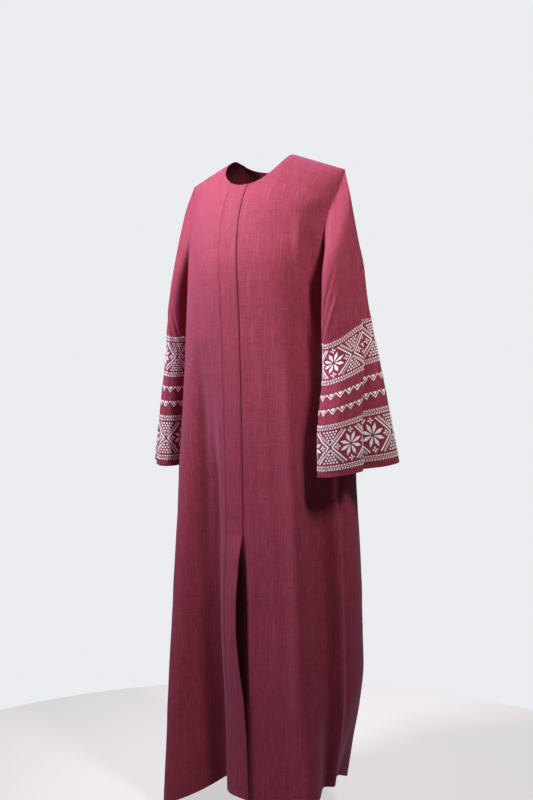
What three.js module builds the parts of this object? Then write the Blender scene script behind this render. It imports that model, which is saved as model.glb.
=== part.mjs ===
// An open-front abaya with wide embroidered sleeves, hanging as it is worn, in millimetres.
// The origin is the middle of the shoulders, level with the shoulder seams at the neck.
// +Z is up, the front faces -Y and the wearer's left is +X.
// The body is a stack of level sections. "down" is the distance below the origin, and "turn" is the angle
// round a section in degrees: 0 at the centre front, 90 at the left side seam and 180 at the centre back.
import * as THREE from 'three';

const LENGTH = 1473;
const CLOTH = 1.6;
const SEAM_GAP = 0.3;
const LAYER_GAP = 0.5;
const UNDERARM = 290;

const NECK_HALF_WIDTH = 80;
const FRONT_NECK_DROP = 80;
const BACK_NECK_DROP = 24;
const BACK_NECK_FADE = 75;
const SHOULDER_SLOPE = 0.37;
const SHOULDER_FADE = 220;
const SHOULDER_ROUND = 62;
const LEAST_DEPTH = 20;
const ARMHOLE_CUT_IN = 21;
const ARMHOLE_POWER = 0.6;
const ARMHOLE_TOP_SHARE = 0.7;
const ARMHOLE_LOW_SHARE = 1.15;
const SLEEVE_HEAD_SHARE = 0.3;
const SLEEVE_STEP = 0.01;
const SLEEVE_HEAD_INSET = 0.1;
const FOLD_GROWTH = 1.2;
const BAND_TOP_FADE = 60;
const HEM_CURVE_FROM = 1085;

const BAND_SEAM = -22;
const BAND_WIDTH = 46;
const UNDERLAP_EDGE = -18;
const BAND_FOOT = 881;
const BAND_SEAM_SWING = 0.35;
const FRONT_SWING_FROM = 0.55;
const UNDERLAP_SHARE = 0.2;
const STEP_UP_FROM = -30;
const STEP_UP_WIDTH = 22;

const CLOTH_COLOUR = 0x8e3650;

// Half width and depths of the body's sections, with the folds left out.
const BODY_SECTIONS = [
  { down: 0, half: 209, front: 64, back: 58 },
  { down: 60, half: 207, front: 92, back: 80 },
  { down: 130, half: 202, front: 132, back: 98 },
  { down: 210, half: 197, front: 158, back: 112 },
  { down: 290, half: 197, front: 168, back: 120 },
  { down: 420, half: 206, front: 162, back: 122 },
  { down: 600, half: 218, front: 154, back: 130 },
  { down: 800, half: 229, front: 147, back: 139 },
  { down: 1000, half: 238, front: 144, back: 148 },
  { down: 1240, half: 242, front: 147, back: 154 },
  { down: 1490, half: 240, front: 152, back: 158 },
];

// Long folds of the skirt and chest. A fold grows from its start level to the hem, and may fade again below
// "full". Its "wide" is at its start and at the hem.
const BODY_FOLDS = [
  { name: 'left front ridge', top: 33, hem: 50, start: 210, push: 30, wide: [15, 10], power: 0.7 },
  { name: 'left front trough', top: 50, hem: 61, start: 380, push: -40, wide: [12, 9], power: 1.1 },
  { name: 'left side crease', top: 68, hem: 70, start: 480, push: 13, wide: [6, 4], power: 0.8 },
  { name: 'armhole hollow', top: 58, hem: 50, start: 120, push: -26, wide: [9, 12], power: 0.6, full: 330 },
  { name: 'back left lobe', top: 104, hem: 114, start: 420, push: 5, wide: [17, 16], power: 0.9 },
  { name: 'back left tuck', top: 100, hem: 96, start: 1190, push: -66, wide: [26, 30], power: 1.5 },
  { name: 'back trough 1', top: 136, hem: 140, start: 450, push: -30, wide: [12, 11], power: 1.2 },
  { name: 'back ridge 1', top: 158, hem: 160, start: 380, push: 26, wide: [12, 10], power: 1.0 },
  { name: 'back trough 2', top: 183, hem: 181, start: 520, push: -34, wide: [11, 10], power: 1.3 },
  { name: 'back ridge 2', top: 205, hem: 203, start: 400, push: 28, wide: [12, 10], power: 1.0 },
  { name: 'back trough 3', top: 228, hem: 225, start: 480, push: -30, wide: [12, 11], power: 1.2 },
  { name: 'back right lobe', top: 252, hem: 248, start: 420, push: 22, wide: [14, 12], power: 1.0 },
  { name: 'right side trough', top: 276, hem: 276, start: 560, push: -26, wide: [12, 11], power: 1.2 },
  { name: 'right front lobe', top: 314, hem: 324, start: 480, push: 62, wide: [17, 12], power: 1.2 },
  { name: 'right front trough', top: 338, hem: 341, start: 440, push: -74, wide: [11, 9.5], power: 0.8 },
];

// Where the hem hangs higher than LENGTH, or lower with a minus sign.
const HEM_LIFTS = [
  { name: 'arch in the right front', turn: 340, lift: 14, wide: 9 },
  { name: 'right front lobe', turn: 318, lift: -44, wide: 14 },
  { name: 'left front', turn: 26, lift: -20, wide: 20 },
  { name: 'left side', turn: 72, lift: 16, wide: 14 },
  { name: 'back left corner', turn: 104, lift: 24, wide: 18 },
];

// The band's free edge below its foot: sideways and forward from where it lies when it is closed.
const BAND_SWING = [
  { down: 881, side: 0, forward: 0 },
  { down: 950, side: -7, forward: 14 },
  { down: 1085, side: -10, forward: 28 },
  { down: 1180, side: 0, forward: 24 },
  { down: 1262, side: 12, forward: 16 },
  { down: 1360, side: 18, forward: 9 },
  { down: 1490, side: 22, forward: 6 },
];

// The left front's free edge turns inward behind the slit.
const UNDERLAP_TURN = [
  { down: 881, inward: 0 },
  { down: 1000, inward: 34 },
  { down: 1120, inward: 46 },
  { down: 1280, inward: 36 },
  { down: 1490, inward: 24 },
];

// How far the closed band leans to the wearer's right near the neck.
const PLACKET_LEAN = [
  { down: 0, side: -14 },
  { down: 150, side: -12 },
  { down: 300, side: -2 },
  { down: 420, side: 0 },
  { down: 1490, side: 0 },
];

// Rings of each sleeve as if it were a left one. "at" is the share of the way from the armhole to the hem.
// A ring has its centre, its half size across, the height of its outer point above the centre, its half size
// fore and aft, its turn towards the body at the front, and its nod, how far its front point lies below the
// centre.
const LEFT_SLEEVE = [
  { at: 0, x: 201, y: 3, z: -168, across: 4, rise: 121, fore: 55, yaw: 0, nod: 0 },
  { at: 0.08, x: 216, y: -18, z: -212, across: 15, rise: 94, fore: 58, yaw: 2, nod: 2 },
  { at: 0.2, x: 228, y: -42, z: -285, across: 25, rise: 60, fore: 71, yaw: 6, nod: 4 },
  { at: 0.38, x: 238, y: -54, z: -385, across: 34, rise: 34, fore: 66, yaw: 14, nod: 6 },
  { at: 0.6, x: 251, y: -48, z: -500, across: 40, rise: 16, fore: 69, yaw: 24, nod: 10 },
  { at: 0.82, x: 265, y: -58, z: -622, across: 46, rise: 9, fore: 86, yaw: 30, nod: 14 },
  { at: 1, x: 274, y: -52, z: -731, across: 50, rise: 4, fore: 95, yaw: 34, nod: 17 },
];
const RIGHT_SLEEVE = [
  { at: 0, x: 201, y: 3, z: -168, across: 4, rise: 121, fore: 55, yaw: 0, nod: 0 },
  { at: 0.08, x: 216, y: -2, z: -212, across: 15, rise: 96, fore: 58, yaw: 0, nod: 2 },
  { at: 0.2, x: 227, y: 2, z: -285, across: 22, rise: 62, fore: 68, yaw: 2, nod: 4 },
  { at: 0.38, x: 240, y: 3, z: -385, across: 31, rise: 34, fore: 66, yaw: 6, nod: 6 },
  { at: 0.6, x: 252, y: 2, z: -500, across: 37, rise: 18, fore: 71, yaw: 12, nod: 8 },
  { at: 0.82, x: 263, y: -2, z: -620, across: 42, rise: 10, fore: 86, yaw: 16, nod: 9 },
  { at: 1, x: 272, y: -5, z: -727, across: 45, rise: 4, fore: 96, yaw: 20, nod: 10 },
];

// Folds of a sleeve: "from" and "to" are the angle from the outer line at the fold's start and at the hem,
// 90 at the front and 180 at the body.
const LEFT_SLEEVE_FOLDS = [
  { name: 'outer crease', from: -45, to: 7, start: 0.14, push: -34, wide: 13 },
  { name: 'front lobe', from: 62, to: 58, start: 0.3, push: 6, wide: 20 },
  { name: 'inner hollow', from: 198, to: 204, start: 0.35, push: -26, wide: 26 },
  { name: 'back hollow', from: 284, to: 296, start: 0.35, push: -9, wide: 16 },
];
const RIGHT_SLEEVE_FOLDS = [
  { name: 'outer crease', from: 20, to: 38, start: 0.3, push: -26, wide: 13 },
  { name: 'inner hollow', from: 200, to: 208, start: 0.35, push: -20, wide: 22 },
  { name: 'back crease', from: 300, to: 318, start: 0.3, push: -24, wide: 15 },
];

const ARMHOLE_LEVELS = [107, 145, 183, 218, 248, 271, 285, UNDERARM];
const FRONT_TOP_LEVELS = [0, 5, 20, 42, 60, 72, FRONT_NECK_DROP];
const BACK_TOP_LEVELS = [0, 5, 12, 20, BACK_NECK_DROP, 45, BACK_NECK_FADE];
const SKIRT_LEVELS = [340, 400, 470, 550, 640, 735, 830];
const SLIT_LEVELS = [BAND_FOOT, 950, 1020, 1085, 1160, 1235, 1305, 1365, 1420, LENGTH];
const LOWER_LEVELS = [...SKIRT_LEVELS, ...SLIT_LEVELS];
const FRONT_LEVELS = [...FRONT_TOP_LEVELS, ...ARMHOLE_LEVELS, ...LOWER_LEVELS];
const BACK_LEVELS = [...BACK_TOP_LEVELS, ...ARMHOLE_LEVELS, ...LOWER_LEVELS];
const SLEEVE_SHARES = [0, 0.035, 0.08, 0.14, 0.22, 0.32, 0.43, 0.54, 0.66, 0.77, 0.88, 1];
const FRONT_COLUMNS = 19;
const BACK_COLUMNS = 32;
const BAND_COLUMNS = 3;

const radians = (degrees) => (degrees * Math.PI) / 180;
const mix = (a, b, t) => a + (b - a) * t;
const smooth = (t) => {
  const s = Math.min(1, Math.max(0, t));
  return s * s * (3 - 2 * s);
};

// The value of a column at a place in a table, along a smooth curve through its rows.
function readTable(table, key, at, column) {
  const last = table.length - 1;
  const place = Math.min(table[last][key], Math.max(table[0][key], at));
  let i = 0;
  while (i < last - 1 && table[i + 1][key] < place) i += 1;
  const slope = (k) => {
    const before = table[Math.max(0, k - 1)];
    const after = table[Math.min(last, k + 1)];
    return (after[column] - before[column]) / (after[key] - before[key]);
  };
  const span = table[i + 1][key] - table[i][key];
  const t = (place - table[i][key]) / span;
  const start = table[i][column];
  const end = table[i + 1][column];
  const ease = t * t * (3 - 2 * t);
  return mix(start, end, ease) + span * t * (1 - t) * ((1 - t) * slope(i) - t * slope(i + 1));
}

// The shorter way round from one angle to another, in degrees.
const angleBetween = (a, b) => ((a - b + 900) % 360) - 180;

const bell = (distance, wide) => Math.exp(-((distance / wide) ** 2));

// How far the folds push a point of the body outward.
function foldPush(turn, down) {
  let push = 0;
  for (const fold of BODY_FOLDS) {
    const along = (down - fold.start) / (LENGTH - fold.start);
    if (along > 0) {
      const reach = fold.full ? smooth(1 - (down - fold.full) / (LENGTH - fold.full)) : 1;
      const centre = mix(fold.top, fold.hem, along);
      const wide = mix(fold.wide[0], fold.wide[1], along);
      push += fold.push * along ** fold.power * reach * bell(angleBetween(turn, centre), wide);
    }
  }
  return push;
}

// A point on the body's outer face, moved out by "lift".
function bodyPoint(turn, down, lift = 0) {
  const angle = radians(turn);
  const half = readTable(BODY_SECTIONS, 'down', down, 'half');
  const side = Math.cos(angle) > 0 ? 'front' : 'back';
  const round = Math.min(1, down / SHOULDER_ROUND);
  const depth = readTable(BODY_SECTIONS, 'down', down, side) * Math.sqrt(1 - (1 - round) ** 2);
  const x = half * Math.sin(angle);
  const y = -depth * Math.cos(angle);
  const outward = new THREE.Vector2(x / half ** 2, y / Math.max(depth, LEAST_DEPTH) ** 2).normalize();
  const push = foldPush(turn, down) + lift;
  const beyondNeck = Math.max(0, Math.abs(x) - NECK_HALF_WIDTH);
  const drop = SHOULDER_SLOPE * beyondNeck * (1 - smooth(down / SHOULDER_FADE));
  return new THREE.Vector3(x + outward.x * push, y + outward.y * push, -down - drop);
}

// The outward direction of the body's face.
function bodyNormal(turn, down) {
  const step = 0.5;
  const across = bodyPoint(turn + step, down).sub(bodyPoint(turn - step, down));
  const along = bodyPoint(turn, down + step).sub(bodyPoint(turn, Math.max(0, down - step)));
  const normal = along.cross(across).normalize();
  if (down === 0) normal.setY(0).normalize();
  return normal;
}

// The turn at which a section is a given distance to the left of the centre front.
function turnAt(side, down) {
  return THREE.MathUtils.radToDeg(Math.asin(side / readTable(BODY_SECTIONS, 'down', down, 'half')));
}

// The angle that a side seam stands back from the side of a level.
function gapTurn(down, side) {
  const depth = readTable(BODY_SECTIONS, 'down', Math.max(down, UNDERARM), side);
  return THREE.MathUtils.radToDeg(SEAM_GAP / depth);
}

// Where the front's edge meets the armhole above the underarm, and the side seam below it.
function sideTurn(down) {
  const share = Math.min(1, down / UNDERARM);
  const curve = (4 * share * (1 - share)) ** ARMHOLE_POWER;
  return 90 - ARMHOLE_CUT_IN * curve * mix(ARMHOLE_TOP_SHARE, ARMHOLE_LOW_SHARE, share);
}

// The neck opening's half width at a level.
function neckHalf(down, drop) {
  return down < drop ? NECK_HALF_WIDTH * Math.sqrt(1 - (down / drop) ** 2) : 0;
}

// The hem's level at a turn.
function hemDown(turn) {
  const lift = (row) => row.lift * bell(angleBetween(turn, row.turn), row.wide);
  return HEM_LIFTS.reduce((down, row) => down - lift(row), LENGTH);
}

// A closed wall from a grid of face points and one of back points. A tube's last column joins its first.
function wallMesh(name, face, back, isTube) {
  const rows = face.length;
  const columns = face[0].length;
  const positions = [...face.flat(), ...back.flat()].flatMap((p) => [p.x, p.y, p.z]);
  const index = [];
  const faceAt = (row, column) => row * columns + (column % columns);
  const backAt = (row, column) => rows * columns + faceAt(row, column);
  const quad = (a, b, c, d) => index.push(a, b, c, a, c, d);
  const lastColumn = isTube ? columns : columns - 1;
  for (let row = 0; row < rows - 1; row += 1) {
    for (let column = 0; column < lastColumn; column += 1) {
      const next = column + 1;
      quad(faceAt(row, column), faceAt(row + 1, column), faceAt(row + 1, next), faceAt(row, next));
      quad(backAt(row, column), backAt(row, next), backAt(row + 1, next), backAt(row + 1, column));
    }
  }
  for (let column = 0; column < lastColumn; column += 1) {
    const end = rows - 1;
    quad(faceAt(0, column), faceAt(0, column + 1), backAt(0, column + 1), backAt(0, column));
    quad(faceAt(end, column), backAt(end, column), backAt(end, column + 1), faceAt(end, column + 1));
  }
  if (!isTube) {
    for (let row = 0; row < rows - 1; row += 1) {
      const end = columns - 1;
      quad(faceAt(row, 0), backAt(row, 0), backAt(row + 1, 0), faceAt(row + 1, 0));
      quad(faceAt(row, end), faceAt(row + 1, end), backAt(row + 1, end), backAt(row, end));
    }
  }
  const geometry = new THREE.BufferGeometry();
  geometry.setAttribute('position', new THREE.Float32BufferAttribute(positions, 3));
  geometry.setIndex(index);
  const material = new THREE.MeshStandardMaterial({ color: CLOTH_COLOUR, roughness: 0.85, metalness: 0 });
  const mesh = new THREE.Mesh(geometry, material);
  mesh.name = name;
  return mesh;
}

const noShift = () => new THREE.Vector3();
const noLift = () => 0;

// A panel of the body: each level has its first and last turn, "lift" and "shift" move its points, and "dip"
// lowers them.
function bodyPanel(name, levels, columns, turns, lift, shift, dip = noLift) {
  const grid = (inset) => levels.map((level) => {
    const [from, to] = turns(level);
    return Array.from({ length: columns + 1 }, (_, column) => {
      const share = column / columns;
      const turn = mix(from, to, share);
      const stretch = smooth((level - HEM_CURVE_FROM) / (LENGTH - HEM_CURVE_FROM));
      const down = level + dip(turn, level) + (hemDown(turn) - LENGTH) * stretch;
      const normal = bodyNormal(turn, down);
      const point = bodyPoint(turn, down).addScaledVector(normal, lift(turn, down) - inset);
      return point.add(shift(share, down));
    });
  });
  return wallMesh(name, grid(0), grid(CLOTH), false);
}

const seamY = (down, sign) => (down === 0 ? new THREE.Vector3(0, (sign * SEAM_GAP) / 2, 0) : noShift());

const lean = (down) => readTable(PLACKET_LEAN, 'down', down, 'side');

// How far the band's free edge swings away from where it lies when it is closed.
function bandSwing(down) {
  if (down <= BAND_FOOT) return noShift();
  const read = (column) => readTable(BAND_SWING, 'down', down, column);
  return new THREE.Vector3(read('side'), -read('forward'), 0);
}

// The closed band lies over the underlap, and the right front comes down to its own level beside it.
const OVER = CLOTH + LAYER_GAP;
const rightLift = (turn) => OVER * smooth((turn - 360 - STEP_UP_FROM) / STEP_UP_WIDTH);

function makeFrontRight() {
  const turns = (down) => {
    const neck = neckHalf(down, FRONT_NECK_DROP);
    const inner = Math.max(neck, -BAND_SEAM - lean(down) + SEAM_GAP);
    return [360 - sideTurn(down) + gapTurn(down, 'front'), 360 - turnAt(inner, down)];
  };
  const shift = (share, down) => {
    const near = BAND_SEAM_SWING * smooth((share - FRONT_SWING_FROM) / (1 - FRONT_SWING_FROM));
    return bandSwing(down).multiplyScalar(near).add(seamY(down, -1));
  };
  return bodyPanel('front_right', FRONT_LEVELS, FRONT_COLUMNS - 2, turns, rightLift, shift);
}

function makePlacketBand() {
  const turns = (down) => {
    const seam = BAND_SEAM + lean(down);
    return [turnAt(seam, down), turnAt(seam + BAND_WIDTH, down)];
  };
  const shift = (share, down) => bandSwing(down).multiplyScalar(mix(BAND_SEAM_SWING, 1, share));
  const dip = (turn, level) => {
    const side = readTable(BODY_SECTIONS, 'down', level, 'half') * Math.sin(radians(turn)) / NECK_HALF_WIDTH;
    const rise = FRONT_NECK_DROP * (1 - Math.sqrt(1 - Math.min(1, side ** 2)));
    return -rise * Math.max(0, 1 - (level - FRONT_NECK_DROP) / BAND_TOP_FADE);
  };
  const levels = [FRONT_NECK_DROP, ...ARMHOLE_LEVELS, ...LOWER_LEVELS];
  return bodyPanel('placket_band', levels, BAND_COLUMNS, turns, () => OVER, shift, dip);
}

function makeFrontLeft() {
  const turns = (down) => {
    const neck = neckHalf(down, FRONT_NECK_DROP);
    const edge = Math.max(neck, UNDERLAP_EDGE + lean(down));
    return [turnAt(neck > 0 ? neck : edge, down), sideTurn(down) - gapTurn(down, 'front')];
  };
  const shift = (share, down) => {
    const inward = down > BAND_FOOT ? readTable(UNDERLAP_TURN, 'down', down, 'inward') : 0;
    const near = 1 - smooth(share / UNDERLAP_SHARE);
    return new THREE.Vector3(0, inward * near, 0).add(seamY(down, -1));
  };
  return bodyPanel('front_left', FRONT_LEVELS, FRONT_COLUMNS, turns, noLift, shift);
}

function makeBack() {
  const turns = (down) => {
    const side = sideTurn(down) - gapTurn(down, 'back');
    return [180 - side, 180 + side];
  };
  const shift = (share, down) => seamY(down, 1);
  const dip = (turn, level) => {
    const side = BODY_SECTIONS[0].half * Math.sin(radians(turn)) / NECK_HALF_WIDTH;
    const drop = BACK_NECK_DROP * Math.sqrt(Math.max(0, 1 - side ** 2));
    return drop * Math.max(0, 1 - level / BACK_NECK_FADE);
  };
  return bodyPanel('back', BACK_LEVELS, BACK_COLUMNS, turns, noLift, shift, dip);
}

// The angle round the sleeve at which it meets a level of the armhole.
const roundAt = (down) => THREE.MathUtils.radToDeg(Math.acos(1 - (2 * down) / UNDERARM));
const downAt = (round) => (UNDERARM * (1 - Math.cos(radians(round)))) / 2;

// A point of a sleeve's ring, with the folds.
function ringPoint(rings, folds, round, share) {
  const read = (column) => readTable(rings, 'at', share, column);
  const angle = radians(round);
  const yaw = radians(read('yaw'));
  const out = new THREE.Vector3(read('across'), 0, read('rise'));
  const fore = new THREE.Vector3(-Math.sin(yaw) * read('fore'), -Math.cos(yaw) * read('fore'), -read('nod'));
  const centre = new THREE.Vector3(read('x'), read('y'), read('z'));
  const outward = out.clone().multiplyScalar(Math.cos(angle) / out.lengthSq());
  outward.addScaledVector(fore, Math.sin(angle) / fore.lengthSq()).normalize();
  let push = 0;
  for (const fold of folds) {
    const along = Math.max(0, (share - fold.start) / (1 - fold.start));
    const at = mix(fold.from, fold.to, Math.sqrt(along));
    push += fold.push * smooth(along * FOLD_GROWTH) * bell(angleBetween(round, at), fold.wide);
  }
  centre.addScaledVector(out, Math.cos(angle)).addScaledVector(fore, Math.sin(angle));
  return centre.addScaledVector(outward, push);
}

// A point on a left sleeve's outer face. It leaves the armhole on the body's own curve.
function sleevePoint(rings, folds, round, share, isRight) {
  const down = downAt(round);
  const around = (round + 360) % 360;
  const turn = around <= 180 ? sideTurn(down) : 180 - sideTurn(down);
  const hole = bodyPoint(isRight ? 360 - turn : turn, down);
  if (isRight) hole.x = -hole.x;
  hole.x += SEAM_GAP;
  const point = ringPoint(rings, folds, round, share);
  const near = 1 - smooth(share / SLEEVE_HEAD_SHARE);
  return point.addScaledVector(hole.sub(ringPoint(rings, folds, round, 0)), near);
}

function makeSleeve(name, rings, folds, isRight) {
  const frontRounds = [...FRONT_TOP_LEVELS, ...ARMHOLE_LEVELS].map(roundAt);
  const backRounds = [...BACK_TOP_LEVELS, ...ARMHOLE_LEVELS].map(roundAt).slice(1, -1);
  const rounds = [...frontRounds, ...backRounds.reverse().map((round) => 360 - round)];
  const pointAt = (round, share) => sleevePoint(rings, folds, round, share, isRight);
  const face = SLEEVE_SHARES.map((share) => rounds.map((round) => pointAt(round, share)));
  const back = SLEEVE_SHARES.map((share) => rounds.map((round) => {
    const across = pointAt(round + 1, share).sub(pointAt(round - 1, share));
    const above = pointAt(round, Math.max(0, share - SLEEVE_STEP));
    const along = pointAt(round, Math.min(1, share + SLEEVE_STEP)).sub(above);
    const inset = along.cross(across).normalize().multiplyScalar(CLOTH);
    if (share === 0) inset.x = Math.max(inset.x, -SLEEVE_HEAD_INSET);
    return pointAt(round, share).add(inset);
  }));
  const sign = isRight ? -1 : 1;
  const place = (grid) => grid.map((row) => {
    const placed = row.map((point) => new THREE.Vector3(sign * point.x, point.y, point.z));
    return isRight ? placed : placed.reverse();
  });
  return wallMesh(name, place(face), place(back), true);
}

const abaya = new THREE.Group();
abaya.add(makeFrontRight(), makePlacketBand(), makeFrontLeft(), makeBack());
abaya.add(makeSleeve('sleeve_left', LEFT_SLEEVE, LEFT_SLEEVE_FOLDS, false));
abaya.add(makeSleeve('sleeve_right', RIGHT_SLEEVE, RIGHT_SLEEVE_FOLDS, true));

export default abaya;
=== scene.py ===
import math

import bpy
import numpy as np
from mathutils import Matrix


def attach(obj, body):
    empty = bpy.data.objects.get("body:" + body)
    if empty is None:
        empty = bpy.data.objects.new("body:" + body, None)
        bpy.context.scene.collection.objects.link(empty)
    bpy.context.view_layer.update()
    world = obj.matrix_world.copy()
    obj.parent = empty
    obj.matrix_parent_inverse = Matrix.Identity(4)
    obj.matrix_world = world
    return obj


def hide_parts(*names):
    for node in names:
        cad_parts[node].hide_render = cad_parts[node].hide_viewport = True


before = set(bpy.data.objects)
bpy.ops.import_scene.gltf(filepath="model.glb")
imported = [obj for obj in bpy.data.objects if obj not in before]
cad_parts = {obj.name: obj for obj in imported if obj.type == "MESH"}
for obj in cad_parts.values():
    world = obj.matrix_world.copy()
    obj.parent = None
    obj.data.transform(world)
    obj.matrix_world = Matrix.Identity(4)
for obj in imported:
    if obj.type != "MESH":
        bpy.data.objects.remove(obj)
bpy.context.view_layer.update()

# The abaya hangs as it is worn. Lengths are in millimetres until a mesh is made, and "down" is the
# distance below the shoulders. "turn" is the angle round the body: 0 centre front, 90 left side seam, 180
# centre back.
MM = 0.001
LENGTH = 1473
CLOTH = 1.0
HEM_CLOTH = 2.2
HEM_TURN_UP = 26
SLEEVE_TURN_UP = 22
TURN_UP_EASE = 4
SEAM_GAP = 0.3
UNDERARM = 290

NECK_HALF_WIDTH = 80
FRONT_NECK_DROP = 80
BACK_NECK_DROP = 24
BACK_NECK_FADE = 75
SHOULDER_SLOPE = 0.37
SHOULDER_FADE = 220
SHOULDER_ROUND = 62
LEAST_DEPTH = 20
ARMHOLE_CUT_IN = 21
ARMHOLE_POWER = 0.6
ARMHOLE_TOP_SHARE = 0.7
ARMHOLE_LOW_SHARE = 1.15
SLEEVE_HEAD_SHARE = 0.3
HEM_CURVE_FROM = 1085

BAND_SEAM = -22
BAND_WIDTH = 46
UNDERLAP_EDGE = -18
BAND_FOOT = 881
BAND_SEAM_SWING = 0.35
FRONT_SWING_FROM = 0.55
UNDERLAP_SHARE = 0.17
BAND_OVER = 2.1
STEP_UP_FROM = -30
STEP_UP_WIDTH = 22
BAND_TOP_FADE = 60
GROOVE_DEPTH = 1.3
GROOVE_COLUMNS = 0.6

# How finely the panels and sleeves are drawn. The row step is in millimetres.
ROW_STEP = 8.0
RIGHT_COLUMNS = 96
LEFT_COLUMNS = 118
BACK_COLUMNS = 170
BAND_COLUMNS = 14
SLEEVE_ROWS = 96
SLEEVE_COLUMNS = 132
EDGE_SHARES = (0.25, 0.5)
EDGE_COLUMNS = 2 * len(EDGE_SHARES)
SHARP_ANGLE = math.radians(55)
RIM_ROUND = 0.35
SMALLEST = 1e-9

# Half width and depths of the body's level sections: down, half, front, back.
BODY_SECTIONS = np.array([
    [0, 209, 64, 58],
    [60, 207, 92, 80],
    [130, 202, 132, 98],
    [210, 197, 158, 112],
    [290, 197, 168, 120],
    [420, 206, 162, 122],
    [600, 218, 154, 130],
    [800, 229, 147, 139],
    [1000, 238, 144, 148],
    [1240, 242, 147, 154],
    [1490, 240, 152, 158],
], dtype=float)
HALF, FRONT, BACK = 1, 2, 3

# Long folds: turn at the start, turn at the hem, start level, push, width at the start, width at the hem,
# power of the growth, and the level below which it fades again (0 for none).
BODY_FOLDS = [
    (33, 50, 210, 30, 15, 10, 0.7, 0),
    (50, 61, 380, -40, 12, 9, 1.1, 0),
    (68, 70, 480, 13, 6, 4, 0.8, 0),
    (58, 50, 120, -26, 9, 12, 0.6, 330),
    (104, 114, 420, 5, 17, 16, 0.9, 0),
    (100, 96, 1190, -66, 26, 30, 1.5, 0),
    (136, 140, 450, -30, 12, 11, 1.2, 0),
    (158, 160, 380, 26, 12, 10, 1.0, 0),
    (183, 181, 520, -34, 11, 10, 1.3, 0),
    (205, 203, 400, 28, 12, 10, 1.0, 0),
    (228, 225, 480, -30, 12, 11, 1.2, 0),
    (252, 248, 420, 22, 14, 12, 1.0, 0),
    (276, 276, 560, -26, 12, 11, 1.2, 0),
    (314, 324, 480, 62, 17, 12, 1.2, 0),
    (338, 341, 440, -74, 11, 9.5, 0.8, 0),
]

# Turn, lift and width of each place where the hem hangs higher than LENGTH.
HEM_LIFTS = [(342, 18, 7), (321, -46, 15), (26, -20, 20), (72, 16, 14), (104, 24, 18)]

# The band's free edge below its foot: down, sideways, forward.
BAND_SWING = np.array([
    [881, 0, 0], [950, -6, 10], [1085, -8, 19], [1180, 1, 17],
    [1262, 12, 12], [1360, 18, 7], [1490, 22, 5],
], dtype=float)
UNDERLAP_TURN = np.array([[881, 0], [1000, 24], [1120, 33], [1280, 26], [1490, 16]], dtype=float)
PLACKET_LEAN = np.array([[0, -14], [150, -12], [300, -2], [420, 0], [1490, 0]], dtype=float)

# Rings of each sleeve as if it were a left one: share of the way to the hem, x, y, z, half size across,
# rise of the outer point, half size fore and aft, yaw, nod.
LEFT_SLEEVE = np.array([
    [0, 201, 3, -168, 4, 121, 55, 0, 0],
    [0.08, 216, -18, -212, 15, 94, 58, 2, 2],
    [0.2, 228, -42, -285, 25, 60, 71, 6, 4],
    [0.38, 238, -54, -385, 34, 34, 66, 14, 6],
    [0.6, 251, -48, -500, 40, 16, 69, 24, 10],
    [0.82, 265, -58, -622, 46, 9, 86, 30, 14],
    [1, 274, -52, -731, 50, 4, 95, 34, 17],
], dtype=float)
RIGHT_SLEEVE = np.array([
    [0, 201, 3, -168, 4, 121, 55, 0, 0],
    [0.08, 216, -2, -212, 15, 96, 58, 0, 2],
    [0.2, 227, 2, -285, 22, 62, 68, 2, 4],
    [0.38, 240, 3, -385, 31, 34, 66, 6, 6],
    [0.6, 252, 2, -500, 37, 18, 71, 12, 8],
    [0.82, 263, -2, -620, 42, 10, 86, 16, 9],
    [1, 272, -5, -727, 45, 4, 96, 20, 10],
], dtype=float)

# Folds of a sleeve: angle from the outer line at the start and at the hem, share where it starts, push,
# width.
LEFT_SLEEVE_FOLDS = [
    (-45, 7, 0.14, -34, 13),
    (62, 58, 0.3, 6, 20),
    (198, 204, 0.35, -26, 26),
    (284, 296, 0.35, -9, 16),
]
RIGHT_SLEEVE_FOLDS = [
    (20, 38, 0.3, -26, 13),
    (200, 208, 0.35, -20, 22),
    (300, 318, 0.3, -24, 15),
]
FOLD_GROWTH = 1.2

# Fine creases: turn at the start and end, levels of both, depth, width in degrees.
BODY_CREASES = [
    (46, 60, 150, 500, 9, 4.5),
    (56, 66, 170, 470, -8, 5),
    (329, 333, 430, 1473, -15, 5.5),
    (341, 343, 600, 1473, -9, 4.5),
    (37, 38, 430, 1473, 6, 4),
    (47, 50, 480, 1473, -11, 5),
    (68, 71, 560, 1440, 6, 1.6),
    (73, 77, 520, 1380, -4, 3),
    (18, 30, 330, 1400, 3, 4),
    (9, 12, 900, 1473, 2.5, 3),
    (348, 344, 560, 1473, 3, 3),
    (330, 329, 760, 1473, -3, 3),
    (296, 292, 620, 1440, 4, 5),
    (262, 264, 700, 1473, -4, 4),
    (240, 238, 640, 1473, 4, 4),
    (215, 212, 560, 1473, -3, 4),
    (192, 193, 600, 1473, 3, 4),
    (170, 171, 520, 1473, -3, 4),
    (148, 149, 700, 1473, 3, 4),
    (122, 126, 560, 1473, 4, 5),
]
# Shallow dents and swells: turn, down, depth, width in degrees, width in millimetres.
BODY_DIMPLES = [
    (63, 150, -5, 7, 34),
    (297, 150, -5, 7, 34),
    (118, 190, -5, 9, 50),
    (242, 190, -5, 9, 50),
    (40, 250, 3, 12, 60),
    (180, 120, -3, 20, 60),
]
# Crisp lines down a sleeve: angle at the start and at the hem, share where it starts, depth, width.
SLEEVE_LINES = [
    (-47, 4, 0.14, -9, 7),
    (-32, 18, 0.14, 5, 8),
    (86, 84, 0.4, 3, 8),
]
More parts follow.
